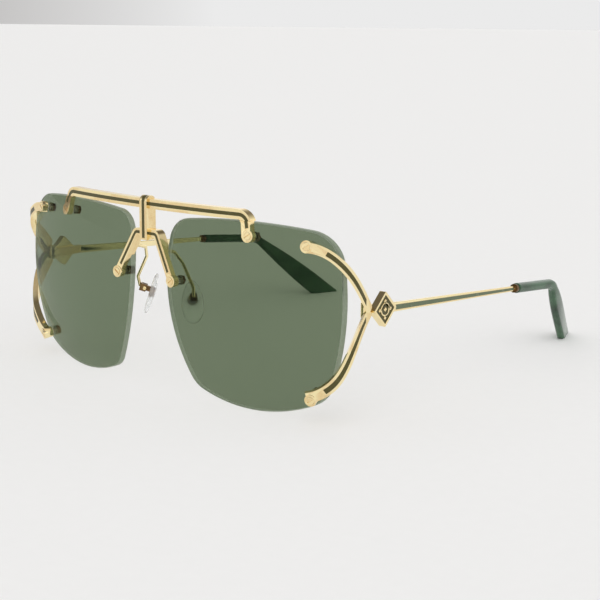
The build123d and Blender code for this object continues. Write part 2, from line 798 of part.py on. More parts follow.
lens = make_lens()
keep_pair("lens", lens)
brow, brow_enamel = make_brow()
bridge, bridge_enamel = make_bridge()
post, post_enamel = make_post(brow + brow_enamel, bridge + bridge_enamel)
keep("brow_bar", brow)
keep("brow_bar_enamel", brow_enamel)
keep("bridge", bridge)
keep("bridge_enamel", bridge_enamel)
keep("centre_post", post)
keep("centre_post_enamel", post_enamel)

endpiece, endpiece_enamel = make_endpiece()
keep_pair("endpiece", endpiece)
keep_pair("endpiece_enamel", Compound([solid for inlay in endpiece_enamel for solid in inlay.solids()]))

stacks = [fasteners(hole) for hole in lens_holes]
keep("lens_screws", *both_sides([stack[0] for stack in stacks]))
keep("lens_bushes", *both_sides([stack[1] for stack in stacks]))
keep("lens_washers_front", *both_sides([stack[2] for stack in stacks]))
keep("lens_washers_rear", *both_sides([stack[3] for stack in stacks]))
keep("lens_nuts", *both_sides([stack[4] for stack in stacks]))

clevis = make_clevis()
keep_pair("pad_box", clevis)
keep_pair("pad_arm", make_pad_arm(bridge, clevis))
keep("pad_screws", *both_sides([make_pad_screw()]))
pad, lug = make_pad()
keep_pair("nose_pad", pad)
keep_pair("nose_pad_lug", lug)

keep("hinge_screws", *both_sides([make_hinge_screw()]))
plaque, plaque_enamel, motif = make_plaque()
keep_pair("plaque", plaque)
keep_pair("plaque_enamel", plaque_enamel)
keep_pair("plaque_motif", motif)
arm, arm_enamel = make_arm(plaque)
core = make_core(core_radius)
arm += core
collar = make_collar()
keep_pair("temple_arm", arm)
keep_pair("temple_enamel", arm_enamel)
keep_pair("tip_collar", collar - arm)
keep_pair("temple_tip", make_tip())

boxes = [shape.bounding_box() for shape in nodes.values()]
middle_y = (min(box.min.Y for box in boxes) + max(box.max.Y for box in boxes)) / 2
print("moved back by", middle_y)

os.makedirs("parts", exist_ok=True)
for name, shape in nodes.items():
    export_step(shape.moved(Location((0, -middle_y, 0))), "parts/" + name + ".step")
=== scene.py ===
import bmesh
import bpy
import json
import math
from mathutils import Matrix, Vector


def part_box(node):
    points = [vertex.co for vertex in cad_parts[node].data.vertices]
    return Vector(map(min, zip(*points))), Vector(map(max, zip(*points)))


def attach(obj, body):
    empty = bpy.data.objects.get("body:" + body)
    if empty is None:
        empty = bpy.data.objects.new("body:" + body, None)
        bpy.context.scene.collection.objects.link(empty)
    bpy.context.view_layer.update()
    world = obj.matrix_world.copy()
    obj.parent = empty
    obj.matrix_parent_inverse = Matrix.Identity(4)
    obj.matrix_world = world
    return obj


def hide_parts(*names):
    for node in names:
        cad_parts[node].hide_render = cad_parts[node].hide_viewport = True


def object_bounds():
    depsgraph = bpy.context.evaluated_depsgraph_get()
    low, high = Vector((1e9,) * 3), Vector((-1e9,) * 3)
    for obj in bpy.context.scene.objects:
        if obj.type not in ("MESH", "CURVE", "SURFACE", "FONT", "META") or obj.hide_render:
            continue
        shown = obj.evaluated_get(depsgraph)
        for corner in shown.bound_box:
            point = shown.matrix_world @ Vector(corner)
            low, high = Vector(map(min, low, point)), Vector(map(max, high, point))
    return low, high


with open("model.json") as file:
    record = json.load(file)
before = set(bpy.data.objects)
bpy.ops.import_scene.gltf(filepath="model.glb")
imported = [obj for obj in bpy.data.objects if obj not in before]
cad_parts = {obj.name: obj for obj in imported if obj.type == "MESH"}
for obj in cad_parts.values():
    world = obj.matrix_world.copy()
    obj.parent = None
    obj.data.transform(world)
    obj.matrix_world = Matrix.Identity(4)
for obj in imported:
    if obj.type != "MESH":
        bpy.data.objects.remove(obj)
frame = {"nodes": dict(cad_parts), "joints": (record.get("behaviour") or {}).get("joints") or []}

# Rimless squared sunglasses in gold and olive enamel. Metres throughout, in the frame's own axes:
# the front faces -Y, the temples run back along +Y, and +X is the wearer's left.
nodes = frame["nodes"]
cadLow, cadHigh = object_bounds()
mm = 0.001
sides = {"left": 1, "right": -1}
scene = bpy.context.scene
scene.view_settings.view_transform = "Standard"
print("frame loaded:", len(nodes), "nodes")


# helpers for node trees

def addNode(tree, kind, place=(0, 0), **values):
    node = tree.nodes.new(kind)
    node.location = place
    for name, value in values.items():
        setattr(node, name, value)
    return node


def setInputs(node, **values):
    for name, value in values.items():
        node.inputs[name.replace("_", " ")].default_value = value


def feed(tree, socket, value):
    # another node's output is linked, and a number or a colour is set on the socket
    if isinstance(value, bpy.types.NodeSocket):
        tree.links.new(value, socket)
    elif isinstance(value, tuple):
        socket.default_value = (*value, 1.0)
    else:
        socket.default_value = value


def mathNode(tree, operation, first, second, place=(0, 0)):
    node = addNode(tree, "ShaderNodeMath", place, operation=operation)
    feed(tree, node.inputs[0], first)
    feed(tree, node.inputs[1], second)
    return node.outputs[0]


def rangeNode(tree, value, low, high, toLow, toHigh, place=(0, 0)):
    node = addNode(tree, "ShaderNodeMapRange", place)
    for socket, end in zip(node.inputs, (value, low, high, toLow, toHigh)):
        feed(tree, socket, end)
    return node.outputs[0]


def mixColour(tree, factor, first, second, place=(0, 0)):
    # a Mix node keeps its two colours in inputs 6 and 7, and gives the mixed one in output 2
    node = addNode(tree, "ShaderNodeMix", place, data_type="RGBA")
    feed(tree, node.inputs[0], factor)
    feed(tree, node.inputs[6], first)
    feed(tree, node.inputs[7], second)
    return node.outputs[2]


def makeGroup(name, inputs, outputs):
    tree = bpy.data.node_groups.new(name, "ShaderNodeTree")
    for label, value in inputs:
        socket = tree.interface.new_socket(label, in_out="INPUT", socket_type="NodeSocketFloat")
        socket.default_value = value
    for label in outputs:
        tree.interface.new_socket(label, in_out="OUTPUT", socket_type="NodeSocketFloat")
    entry = addNode(tree, "NodeGroupInput", (-900, 0))
    leave = addNode(tree, "NodeGroupOutput", (700, 0))
    return tree, entry, leave


def placeGroup(tree, group, place, **values):
    node = addNode(tree, "ShaderNodeGroup", place)
    node.node_tree = group
    setInputs(node, **values)
    return node


# effects that several finishes share

polishLook = {
    "grain": {"Detail": 4.0, "Roughness": 0.6},
    "cloud": {"Detail": 5.0, "Roughness": 0.55, "Distortion": 0.6},
    "hairlines": {"Scale": 5200.0, "Detail": 2.0, "Roughness": 0.5},
    "hairlineStretch": (1.0, 0.08, 1.0),
    "hairlineTurn": (0.2, 0.35, 0.6),
    "hairlineRange": (0.62, 0.72),
}


def makePolish():
    # fine haze and hairlines left by a buffing wheel, plus cloudy handling marks
    tree, entry, leave = makeGroup(
        "polishMarks",
        [("Grain Scale", 2500.0), ("Cloud Scale", 90.0), ("Hairline", 0.5)],
        ["Grain", "Cloud", "Marks"],
    )
    coords = addNode(tree, "ShaderNodeTexCoord", (-900, -300))
    grain = addNode(tree, "ShaderNodeTexNoise", (-600, 200))
    setInputs(grain, **polishLook["grain"])
    tree.links.new(entry.outputs["Grain Scale"], grain.inputs["Scale"])
    tree.links.new(coords.outputs["Object"], grain.inputs["Vector"])
    cloud = addNode(tree, "ShaderNodeTexNoise", (-600, -100))
    setInputs(cloud, **polishLook["cloud"])
    tree.links.new(entry.outputs["Cloud Scale"], cloud.inputs["Scale"])
    tree.links.new(coords.outputs["Object"], cloud.inputs["Vector"])
    stretch = addNode(tree, "ShaderNodeMapping", (-800, -500))
    setInputs(stretch, Scale=polishLook["hairlineStretch"], Rotation=polishLook["hairlineTurn"])
    tree.links.new(coords.outputs["Object"], stretch.inputs["Vector"])
    lines = addNode(tree, "ShaderNodeTexNoise", (-600, -500))
    setInputs(lines, **polishLook["hairlines"])
    tree.links.new(stretch.outputs["Vector"], lines.inputs["Vector"])
    thin = rangeNode(tree, lines.outputs["Fac"], *polishLook["hairlineRange"], 0.0, 1.0, (-350, -500))
    marks = mathNode(tree, "MULTIPLY", thin, entry.outputs["Hairline"], (-100, -400))
    tree.links.new(grain.outputs["Fac"], leave.inputs["Grain"])
    tree.links.new(cloud.outputs["Fac"], leave.inputs["Cloud"])
    tree.links.new(marks, leave.inputs["Marks"])
    return tree


wearAndShadeLook = {
    "breaks": {"Detail": 6.0, "Roughness": 0.65},
    "edgeRange": (0.51, 0.58),  # pointiness is 0.5 on a flat face
    # inner corners read below a flat face's 0.5, and get painted shade
    "paintedShadeRange": (0.49, 0.42),
}


def makeWearAndShadeMasks():
    # a mask of outer edges, broken up by noise, where plating and colour rub thin, and a mask of inner
    # corners, where shade is painted in
    tree, entry, leave = makeGroup("wearAndShadeMasks", [("Amount", 0.5), ("Break Scale", 700.0)], ["Edge", "Painted Shade"])
    shape = addNode(tree, "ShaderNodeNewGeometry", (-900, 300))
    coords = addNode(tree, "ShaderNodeTexCoord", (-900, -300))
    noise = addNode(tree, "ShaderNodeTexNoise", (-600, -200))
    setInputs(noise, **wearAndShadeLook["breaks"])
    tree.links.new(entry.outputs["Break Scale"], noise.inputs["Scale"])
    tree.links.new(coords.outputs["Object"], noise.inputs["Vector"])
    point = shape.outputs["Pointiness"]
    edge = rangeNode(tree, point, *wearAndShadeLook["edgeRange"], 0.0, 1.0, (-600, 300))
    paintedShadeMask = rangeNode(tree, point, *wearAndShadeLook["paintedShadeRange"], 0.0, 1.0, (-600, 100))
    broken = mathNode(tree, "MULTIPLY", edge, noise.outputs["Fac"], (-300, 200))
    amount = mathNode(tree, "MULTIPLY", broken, entry.outputs["Amount"], (-100, 200))
    tree.links.new(amount, leave.inputs["Edge"])
    tree.links.new(paintedShadeMask, leave.inputs["Painted Shade"])
    return tree


polishMarks = makePolish()
wearAndShadeMasks = makeWearAndShadeMasks()


# steps that every finish starts or ends with

def startMaterial(name):
    material = bpy.data.materials.new(name)
    material.use_nodes = True
    tree = material.node_tree
    return material, tree, tree.nodes["Principled BSDF"]


def cloudRoughness(tree, shader, cloud, look):
    rough = rangeNode(tree, cloud, *look["cloudRange"], *look["roughness"], (-500, -100))
    tree.links.new(rough, shader.inputs["Roughness"])


def addBump(tree, shader, height, strength, depth):
    bump = addNode(tree, "ShaderNodeBump", (100, -300))
    setInputs(bump, Strength=strength, Distance=depth)
    tree.links.new(height, bump.inputs["Height"])
    tree.links.new(bump.outputs["Normal"], shader.inputs["Normal"])


def letLightThrough(tree, shader, tint):
    # light reaches the floor through the piece, so that its shadow is no darker than a real one
    path = addNode(tree, "ShaderNodeLightPath", (100, 500))
    clear = addNode(tree, "ShaderNodeBsdfTransparent", (100, 300))
    feed(tree, clear.inputs["Color"], tint)
    mix = addNode(tree, "ShaderNodeMixShader", (400, 200))
    shadow, diffuse = path.outputs["Is Shadow Ray"], path.outputs["Is Diffuse Ray"]
    soft = mathNode(tree, "MAXIMUM", shadow, diffuse, (250, 500))
    tree.links.new(soft, mix.inputs[0])
    tree.links.new(shader.outputs[0], mix.inputs[1])
    tree.links.new(clear.outputs[0], mix.inputs[2])
    tree.links.new(mix.outputs[0], tree.nodes["Material Output"].inputs["Surface"])


# gold plating, polished on the frame and dark on the fittings behind the lenses

metalSurface = {
    "polish": {"Grain_Scale": 2600.0, "Cloud_Scale": 110.0, "Hairline": 0.6},
    "wearAndShadeNode": {"Amount": 0.8, "Break_Scale": 900.0},
    "cloudRange": (0.35, 0.7),
    "wornRoughness": 0.15,
    "bump": 0.35,
}

goldFinish = {
    "plate": (1.0, 0.82, 0.44),
    "pale": (1.0, 0.90, 0.56),
    "worn": (0.72, 0.44, 0.17),
    "roughness": (0.05, 0.12),
    "bumpDepth": 0.002 * mm,
}

darkGoldFinish = {
    "plate": (0.085, 0.045, 0.020),
    "pale": (0.15, 0.09, 0.04),
    "worn": (0.40, 0.25, 0.11),
    "roughness": (0.22, 0.38),
    "bumpDepth": 0.006 * mm,
}


def makeGold(name, look):
    material, tree, shader = startMaterial(name)
    polish = placeGroup(tree, polishMarks, (-900, 0), **metalSurface["polish"])
    wearAndShadeNode = placeGroup(tree, wearAndShadeMasks, (-900, -400), **metalSurface["wearAndShadeNode"])
    cloud, edge = polish.outputs["Cloud"], wearAndShadeNode.outputs["Edge"]
    tone = mixColour(tree, cloud, look["plate"], look["pale"], (-500, 200))
    worn = mixColour(tree, edge, tone, look["worn"], (-250, 200))
    tree.links.new(worn, shader.inputs["Base Color"])
    haze = rangeNode(tree, cloud, *metalSurface["cloudRange"], *look["roughness"], (-500, -100))
    rubbed = mathNode(tree, "MULTIPLY", edge, metalSurface["wornRoughness"], (-500, -250))
    rough = mathNode(tree, "ADD", haze, rubbed, (-250, -100))
    tree.links.new(rough, shader.inputs["Roughness"])
    height = mathNode(tree, "SUBTRACT", polish.outputs["Grain"], polish.outputs["Marks"], (-250, -300))
    addBump(tree, shader, height, metalSurface["bump"], look["bumpDepth"])
    setInputs(shader, Metallic=1.0)
    return material


# fired enamel, olive in the front's channels and sage in the temples

enamelSurface = {
    "polish": {"Grain_Scale": 1800.0, "Cloud_Scale": 260.0, "Hairline": 0.3},
    "wearAndShadeNode": {"Amount": 0.5, "Break_Scale": 600.0},
    "cloudRange": (0.3, 0.7),
    "roughness": (0.14, 0.30),
    "bump": 0.5,
    "bumpDepth": 0.01 * mm,
    "gloss": {"IOR": 1.5, "Specular_IOR_Level": 0.3, "Coat_Weight": 0.15, "Coat_Roughness": 0.06},
}

enamelFinish = {
    "deep": (0.052, 0.046, 0.008),
    "light": (0.082, 0.074, 0.018),
    # painted shade, laid into the inner corners
    "paintedShade": (0.026, 0.024, 0.004),
}

templeEnamelFinish = {
    "deep": (0.085, 0.115, 0.062),
    "light": (0.125, 0.160, 0.092),
    # painted shade, laid into the inner corners
    "paintedShade": (0.040, 0.056, 0.028),
}


def makeEnamel(name, look):
    # a thick glossy fill with faint depth variation, and shade painted darker into the inner corners
    material, tree, shader = startMaterial(name)
    polish = placeGroup(tree, polishMarks, (-900, 0), **enamelSurface["polish"])
    wearAndShadeNode = placeGroup(tree, wearAndShadeMasks, (-900, -400), **enamelSurface["wearAndShadeNode"])
    cloud = polish.outputs["Cloud"]
    tone = mixColour(tree, cloud, look["deep"], look["light"], (-500, 200))
    # painted shade: the colour darkens where the surface is hollow, as if shade fell there
    shadedTone = mixColour(tree, wearAndShadeNode.outputs["Painted Shade"], tone, look["paintedShade"], (-250, 200))
    tree.links.new(shadedTone, shader.inputs["Base Color"])
    cloudRoughness(tree, shader, cloud, enamelSurface)
    height = mathNode(tree, "SUBTRACT", cloud, polish.outputs["Marks"], (-250, -300))
    addBump(tree, shader, height, enamelSurface["bump"], enamelSurface["bumpDepth"])
    setInputs(shader, **enamelSurface["gloss"])
    return material


# lens glass and its ground edge

lensFinish = {
    "tint": (0.178, 0.226, 0.146),
    "smeared": (0.188, 0.235, 0.156),
    "shadow": (0.965, 0.97, 0.96),
    "ior": 1.13,  # the coating cancels most of the glare of plain glass
    "polish": {"Grain_Scale": 900.0, "Cloud_Scale": 38.0, "Hairline": 0.2},
    "cloudRange": (0.52, 0.75),
    "roughness": (0.0, 0.03),
    "bump": 0.05,
    "bumpDepth": 0.01 * mm,
}

groundEdgeFinish = {
    "tint": (0.50, 0.54, 0.47),
    "transmission": 0.75,
    "specular": 0.3,
    "polish": {"Grain_Scale": 1500.0, "Cloud_Scale": 160.0, "Hairline": 0.4},
    "cloudRange": (0.3, 0.7),
    "roughness": (0.28, 0.42),
    "bump": 0.3,
    "bumpDepth": 0.01 * mm,
}


def makeLensGlass():
    # tinted mineral glass, coated against glare, with faint smears of handling
    look = lensFinish
    material, tree, shader = startMaterial("lensGlass")
    polish = placeGroup(tree, polishMarks, (-900, 0), **look["polish"])
    cloud = polish.outputs["Cloud"]
    setInputs(shader, Transmission_Weight=1.0, IOR=look["ior"], Metallic=0.0)
    cloudRoughness(tree, shader, cloud, look)
    tone = mixColour(tree, cloud, look["tint"], look["smeared"], (-500, 200))
    tree.links.new(tone, shader.inputs["Base Color"])
    addBump(tree, shader, cloud, look["bump"], look["bumpDepth"])
    letLightThrough(tree, shader, look["shadow"])
    return material


def makeLensEdge():
    # the edge is ground and only half polished, so it scatters light and looks paler than the face
    look = groundEdgeFinish
    material, tree, shader = startMaterial("lensEdge")
    polish = placeGroup(tree, polishMarks, (-900, 0), **look["polish"])
    grain = polish.outputs["Grain"]
    setInputs(shader, Transmission_Weight=look["transmission"], IOR=lensFinish["ior"], Metallic=0.0)
    setInputs(shader, Specular_IOR_Level=look["specular"])
    cloudRoughness(tree, shader, polish.outputs["Cloud"], look)
    tone = mixColour(tree, grain, look["tint"], lensFinish["smeared"], (-500, 200))
    tree.links.new(tone, shader.inputs["Base Color"])
    addBump(tree, shader, grain, look["bump"], look["bumpDepth"])
    letLightThrough(tree, shader, lensFinish["shadow"])
    return material


# clear moulded parts: nylon bushes and washers, silicone nose pads

clearSurface = {
    "polish": {"Grain_Scale": 1500.0, "Cloud_Scale": 300.0, "Hairline": 0.1},
    "bump": 0.15,
    "bumpDepth": 0.01 * mm,
}

nylonFinish = {
    "tint": (0.88, 0.86, 0.80),
    "milk": (0.80, 0.78, 0.70),
    "cloudRange": (0.3, 0.7),
    "roughness": (0.12, 0.24),
    "clear": {"Transmission_Weight": 0.8, "IOR": 1.53},
}

siliconeFinish = {
    "tint": (0.96, 0.96, 0.96),
    "milk": (0.92, 0.93, 0.93),
    "cloudRange": (0.3, 0.7),
    "roughness": (0.10, 0.22),
    "clear": {"Transmission_Weight": 0.72, "IOR": 1.41},
}


def makeClear(name, look):
    # see-through, with a slight haze
    material, tree, shader = startMaterial(name)
    polish = placeGroup(tree, polishMarks, (-900, 0), **clearSurface["polish"])
    cloud = polish.outputs["Cloud"]
    tone = mixColour(tree, cloud, look["tint"], look["milk"], (-500, 200))
    tree.links.new(tone, shader.inputs["Base Color"])
    cloudRoughness(tree, shader, cloud, look)
    addBump(tree, shader, polish.outputs["Grain"], clearSurface["bump"], clearSurface["bumpDepth"])
    setInputs(shader, **look["clear"])
    letLightThrough(tree, shader, look["milk"])
    return material


# green acetate of the temple tips

acetateFinish = {
    "body": (0.022, 0.062, 0.030),
    "streak": (0.070, 0.150, 0.080),
    "dark": (0.006, 0.014, 0.007),
    "streaks": {"Scale": 60.0, "Detail": 5.0, "Roughness": 0.5, "Distortion": 1.5},
    "streakStretch": (1.0, 0.22, 1.0),
    "streakRange": (0.35, 0.70),
    "darkRange": (0.45, 0.75),
    "darkMost": 0.6,
    "polish": {"Grain_Scale": 1200.0, "Cloud_Scale": 120.0, "Hairline": 0.5},
    "cloudRange": (0.3, 0.7),
    "roughness": (0.10, 0.22),
    "bump": 0.25,
    "bumpDepth": 0.005 * mm,
    "gloss": {"IOR": 1.47, "Specular_IOR_Level": 0.3, "Coat_Weight": 0.05, "Coat_Roughness": 0.08},
}


def makeAcetate():
    # deep green cellulose acetate with drawn-out streaks from the block it was cut from
    look = acetateFinish
    material, tree, shader = startMaterial("greenAcetate")
    coords = addNode(tree, "ShaderNodeTexCoord", (-1300, 300))
    stretch = addNode(tree, "ShaderNodeMapping", (-1100, 300))
    setInputs(stretch, Scale=look["streakStretch"])
    tree.links.new(coords.outputs["Object"], stretch.inputs["Vector"])
    streaks = addNode(tree, "ShaderNodeTexNoise", (-900, 300))
    setInputs(streaks, **look["streaks"])
    tree.links.new(stretch.outputs["Vector"], streaks.inputs["Vector"])
    polish = placeGroup(tree, polishMarks, (-900, 0), **look["polish"])
    cloud = polish.outputs["Cloud"]
    drawn = rangeNode(tree, streaks.outputs["Fac"], *look["streakRange"], 0.0, 1.0, (-700, 300))
    tone = mixColour(tree, drawn, look["body"], look["streak"], (-500, 300))
    shade = rangeNode(tree, cloud, *look["darkRange"], 0.0, look["darkMost"], (-500, 100))
    final = mixColour(tree, shade, tone, look["dark"], (-250, 200))
    tree.links.new(final, shader.inputs["Base Color"])
    cloudRoughness(tree, shader, cloud, look)
    height = mathNode(tree, "SUBTRACT", polish.outputs["Grain"], polish.outputs["Marks"], (-250, -300))
    addBump(tree, shader, height, look["bump"], look["bumpDepth"])
    setInputs(shader, **look["gloss"])
    return material


finishes = {
    "gold": makeGold("polishedGold", goldFinish),
    "dark_gold": makeGold("darkGold", darkGoldFinish),
    "enamel": makeEnamel("oliveEnamel", enamelFinish),
    "temple_enamel": makeEnamel("sageEnamel", templeEnamelFinish),
    "lens": makeLensGlass(),
    "clear_nylon": makeClear("clearNylon", nylonFinish),
    "silicone": makeClear("clearSilicone", siliconeFinish),
    "acetate": makeAcetate(),
}
groundEdge = makeLensEdge()
print("finishes made:", ", ".join(finishes))

for node in nodes.values():
    for index, old in enumerate(node.data.materials):
        name = old.name.split(".")[0]
        if name in finishes:
            node.material_slots[index].material = finishes[name]
print("finishes given to the frame's pieces")


# crisp machined edges are eased a little, as plating and polishing leave them

easedEdge = {
    "width": 0.14 * mm,
    "segments": 3,
    "angle": 32.0,
    "weld": 0.0005 * mm,
    "flat": 0.4,
    "normalWeight": 80,
}
metals = [finishes["gold"], finishes["dark_gold"]]


def easeEdges(node):
    weld = node.modifiers.new("weld", "WELD")
    weld.merge_threshold = easedEdge["weld"]
    flat = node.modifiers.new("flatFaces", "DECIMATE")
    flat.decimate_type = "DISSOLVE"
    flat.angle_limit = math.radians(easedEdge["flat"])
    bevel = node.modifiers.new("easedEdges", "BEVEL")
    bevel.width = easedEdge["width"]
    bevel.segments = easedEdge["segments"]
    bevel.limit_method = "ANGLE"
    bevel.angle_limit = math.radians(easedEdge["angle"])
    bevel.use_clamp_overlap = True
    weight = node.modifiers.new("smoothShading", "WEIGHTED_NORMAL")
    weight.weight = easedEdge["normalWeight"]
    weight.keep_sharp = False


metalPieces = [node for node in nodes.values() if node.data.materials and node.data.materials[0] in metals]
for node in metalPieces:
    easeEdges(node)
print("edges eased on", len(metalPieces), "metal pieces")


# meshes shared by the pieces made here

def meshPiece(name, points, faces, material, side):
    # side is -1 for the mirrored copy on the right
    mesh = bpy.data.meshes.new(name)
    mesh.from_pydata([(side * p[0], p[1], p[2]) for p in points], [], faces)
    bm = bmesh.new()
    bm.from_mesh(mesh)
    bmesh.ops.recalc_face_normals(bm, faces=bm.faces)
    for face in bm.faces:
        face.smooth = True
    bm.to_mesh(mesh)
    bm.free()
    mesh.materials.append(material)
    piece = bpy.data.objects.new(name, mesh)
    scene.collection.objects.link(piece)
    return piece


def bandFaces(first, second, count):
    # quads between two rings of points that start at these indices
    return [(first + i, first + (i + 1) % count, second + (i + 1) % count, second + i) for i in range(count)]


def fanFaces(ring, centre, count):
    return [(ring + i, ring + (i + 1) % count, centre) for i in range(count)]


padRock = {joint["name"]: joint for joint in frame["joints"]}["left_pad_rock"]
padPivot = Vector(padRock["pos_m"])


# lenses

lensCut = {
    "radius": 135.0 * mm,
    "thickness": 2.0 * mm,
    "formAngle": 9.26,
    "vertexHeight": 33.4 * mm,
    "behindBridgeHole": 8.83 * mm,  # from the front of the lens there back to the pad's pivot
    "topRadius": 190.0 * mm,
    "topInset": 1.0 * mm,
    "outerRadius": 67.0 * mm,
    "outerCrown": 35.0 * mm,
    "bottomRadius": 50.0 * mm,
    "innerRadius": 70.0 * mm,
    "innerCrown": 40.2 * mm,
    # top outer, bottom outer, bottom inner and top inner corner
    "corners": (11.5 * mm, 12.0 * mm, 8.0 * mm, 7.5 * mm),
    "edgeRound": 0.42 * mm,
    "edgeSteps": 6,
    "rings": 26,
    "spacing": 1.0 * mm,
    "fewestSteps": 8,
    "holeRadius": 1.0 * mm,
    "holeSides": 40,
    "drillLength": 6.0 * mm,
}
lensLow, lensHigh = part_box("lens_left")
lensMiddle = Vector(((lensLow.x + lensHigh.x) / 2, 0, (lensLow.z + lensHigh.z) / 2))
lensHoles = [
    (lensLow.x + 32.4 * mm, lensHigh.z - 4.2 * mm),  # brow bar
    (lensLow.x + 4.2 * mm, lensHigh.z - 20.6 * mm),  # bridge
    (lensHigh.x - 10.8 * mm, lensHigh.z - 5.6 * mm),  # upper end of the hinge piece
    (lensHigh.x - 9.5 * mm, lensLow.z + 7.8 * mm),  # lower end of the hinge piece
]


def lensCentre():
    # the middle of the sphere that the front of the left lens is ground to
    x = lensMiddle.x - lensCut["radius"] * math.sin(math.radians(lensCut["formAngle"]))
    z = lensLow.z + lensCut["vertexHeight"]
    holeX, holeZ = lensHoles[1]
    reach = math.sqrt(lensCut["radius"] ** 2 - (holeX - x) ** 2 - (holeZ - z) ** 2)
    return Vector((x, padPivot.y - lensCut["behindBridgeHole"] + reach, z))


def discMeeting(first, firstRadius, second, secondRadius, outward):
    # where two circles cross, on the side that lies further along outward
    gap = second - first
    distance = gap.length
    along = (distance**2 + firstRadius**2 - secondRadius**2) / (2 * distance)
    height = math.sqrt(firstRadius**2 - along**2)
    unit = gap / distance
    across = Vector((-unit.y, unit.x)) * height
    foot = first + unit * along
    return max((foot + across, foot - across), key=lambda point: point.dot(outward))


def lensOutline():
    # the outline as (centre, radius, angle) for each point, so that it can be drawn at any inset
    cut = lensCut
    discs = [
        (Vector((lensMiddle.x - cut["topInset"], lensHigh.z - cut["topRadius"])), cut["topRadius"]),
        (Vector((lensHigh.x - cut["outerRadius"], lensLow.z + cut["outerCrown"])), cut["outerRadius"]),
        (Vector((lensMiddle.x, lensLow.z + cut["bottomRadius"])), cut["bottomRadius"]),
        (Vector((lensLow.x + cut["innerRadius"], lensLow.z + cut["innerCrown"])), cut["innerRadius"]),
    ]
    outwards = [Vector((1, 1)), Vector((1, -1)), Vector((-1, -1)), Vector((-1, 1))]
    corners = []
    for index, radius in enumerate(cut["corners"]):
        (first, firstRadius), (second, secondRadius) = discs[index], discs[(index + 1) % 4]
        centre = discMeeting(first, firstRadius - radius, second, secondRadius - radius, outwards[index])
        corners.append((centre, radius))
    samples = []
    for index, (centre, radius) in enumerate(discs):
        before, corner, following = corners[index - 1][0], corners[index], discs[(index + 1) % 4][0]
        spans = [
            (centre, radius, before - centre, corner[0] - centre),
            (corner[0], corner[1], corner[0] - centre, corner[0] - following),
        ]
        for middle, reach, start, stop in spans:
            startAngle = math.atan2(start.y, start.x)
            turn = (startAngle - math.atan2(stop.y, stop.x)) % (2 * math.pi)
            steps = max(cut["fewestSteps"], round(reach * turn / cut["spacing"]))
            samples += [(middle, reach, startAngle - turn * step / steps) for step in range(steps)]
    return samples


def lensPoint(centre, x, z, depth):
    reach = lensCut["radius"] - depth
    return Vector((x, centre.y - math.sqrt(reach**2 - (x - centre.x) ** 2 - (z - centre.z) ** 2), z))


def lensProfile():
    # inset from the outline, depth behind the front and share of the way out from the middle
    edge, steps, rings = lensCut["edgeRound"], lensCut["edgeSteps"], lensCut["rings"]
    turns = [math.pi / 2 * step / steps for step in range(steps + 1)]
    front = [(edge, 0.0, ring / rings) for ring in range(1, rings)]
    front += [(edge * (1 - math.sin(turn)), edge * (1 - math.cos(turn)), 1.0) for turn in turns]
    back = [(inset, lensCut["thickness"] - depth, share) for inset, depth, share in reversed(front)]
    return front + back


def makeDrill(centre, side):
    # one pin through each hole, square to the glass there
    bm = bmesh.new()
    for x, z in lensHoles:
        point = lensPoint(centre, x, z, lensCut["thickness"] / 2)
        axis = (point - centre).normalized()
        turn = Vector((0, 0, 1)).rotation_difference(axis).to_matrix().to_4x4()
        mirror = Matrix.Scale(side, 4, (1, 0, 0))
        bmesh.ops.create_cone(
            bm,
            cap_ends=True,
            segments=lensCut["holeSides"],
            radius1=lensCut["holeRadius"],
            radius2=lensCut["holeRadius"],
            depth=lensCut["drillLength"],
            matrix=mirror @ Matrix.Translation(point) @ turn,
        )
    bmesh.ops.recalc_face_normals(bm, faces=bm.faces)
    mesh = bpy.data.meshes.new("lensDrill")
    bm.to_mesh(mesh)
    bm.free()
    drill = bpy.data.objects.new("lensDrill", mesh)
    scene.collection.objects.link(drill)
    return drill


def drillHoles(piece, centre, side):
    drill = makeDrill(centre, side)
    cut = piece.modifiers.new("holes", "BOOLEAN")
    cut.operation = "DIFFERENCE"
    cut.solver = "EXACT"
    cut.object = drill
    bpy.context.view_layer.update()
    ready = piece.evaluated_get(bpy.context.evaluated_depsgraph_get())
    drilled = bpy.data.meshes.new_from_object(ready)
    piece.modifiers.clear()
    piece.data = drilled
    bpy.data.objects.remove(drill)


def polishNormals(mesh, centre, side):
    # the ground faces take the exact normals of their spheres, so that nothing seen through them ripples
    middle = Vector((side * centre.x, centre.y, centre.z))
    spheres = ((lensCut["radius"], 1), (lensCut["radius"] - lensCut["thickness"], -1))
    near = 0.004 * mm
    alike = 0.9  # cosine above which a face belongs to the sphere and not to the rim
    normals = []
    for polygon in mesh.polygons:
        polygon.use_smooth = True
        for index in polygon.vertices:
            ray = mesh.vertices[index].co - middle
            normal = Vector((0, 0, 0))  # a zero normal leaves the mesh's own
            for radius, way in spheres:
                exact = ray.normalized() * way
                if abs(ray.length - radius) < near and exact.dot(polygon.normal) > alike:
                    normal = exact
            normals.append(normal)
    mesh.normals_split_custom_set(normals)


